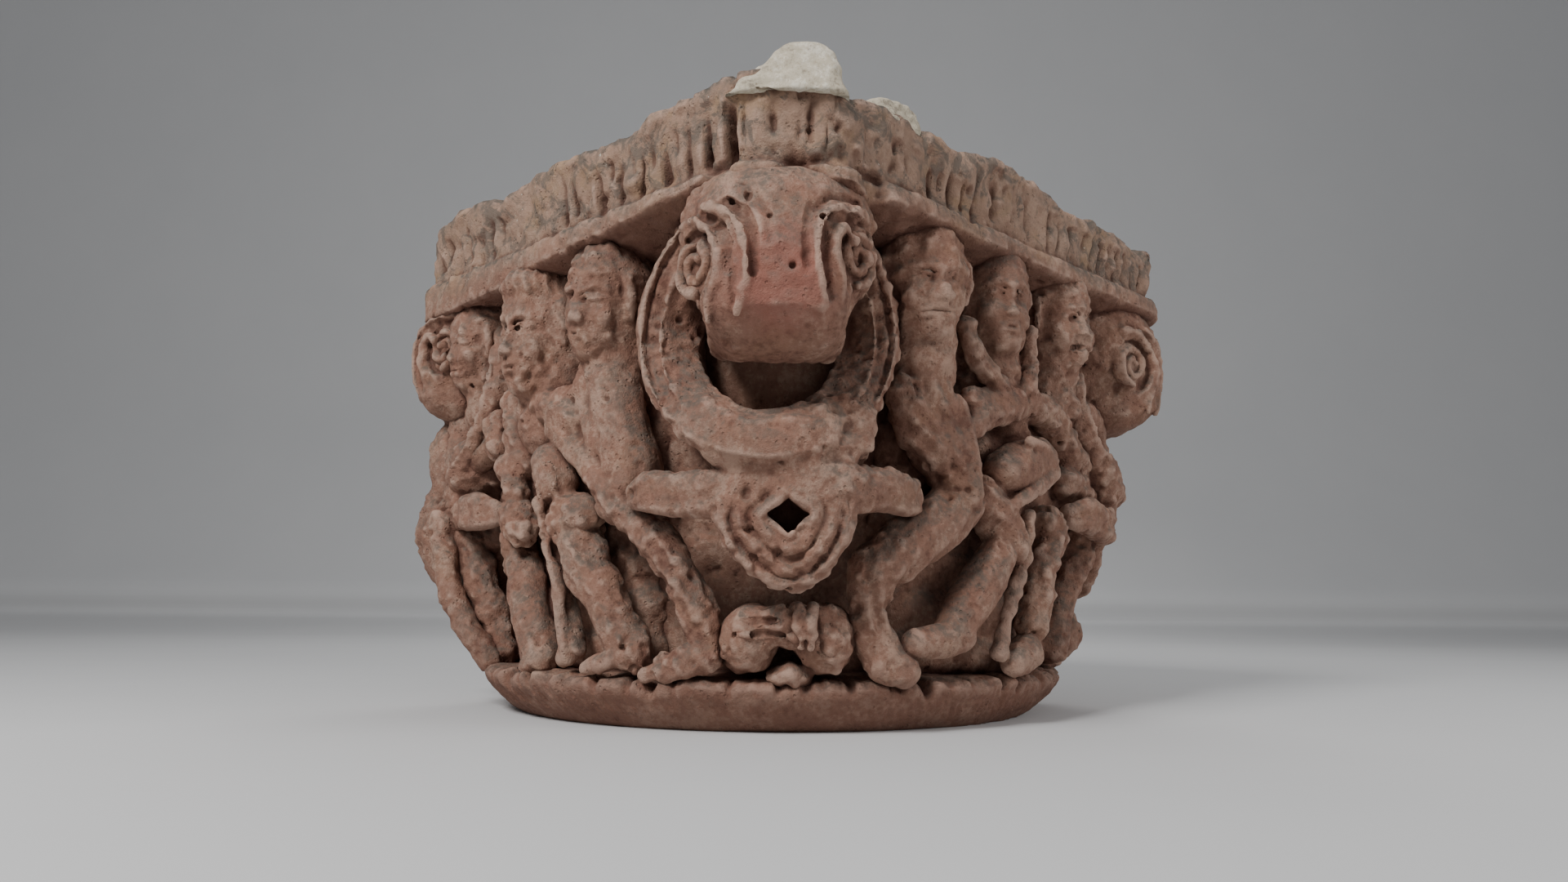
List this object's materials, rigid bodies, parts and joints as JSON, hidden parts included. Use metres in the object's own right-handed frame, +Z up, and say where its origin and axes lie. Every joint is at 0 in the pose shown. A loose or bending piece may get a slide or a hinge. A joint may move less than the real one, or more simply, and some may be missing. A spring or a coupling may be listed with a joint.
{
  "type": "historiated capital",
  "caption": "Carved sandstone column capital with standing figures, scrolled corner leaves, a flaring foot ring and a square abacus.",
  "frame": {"origin": "centre of the lower bed, on its plane", "axes": "+Z up through both beds; the abacus faces are square to X and Y, and the corner at +X -Y carries the mortar lump"},
  "size_m": [0.6653, 0.6685, 0.5343],
  "materials": {
    "red_sandstone": "weathered, matt",
    "lime_mortar": "rough, matt"
  },
  "bodies": {
    "root": {"carved_capital": "red_sandstone", "mortar_corner": "lime_mortar", "mortar_side": "lime_mortar"}
  },
  "joints": []
}
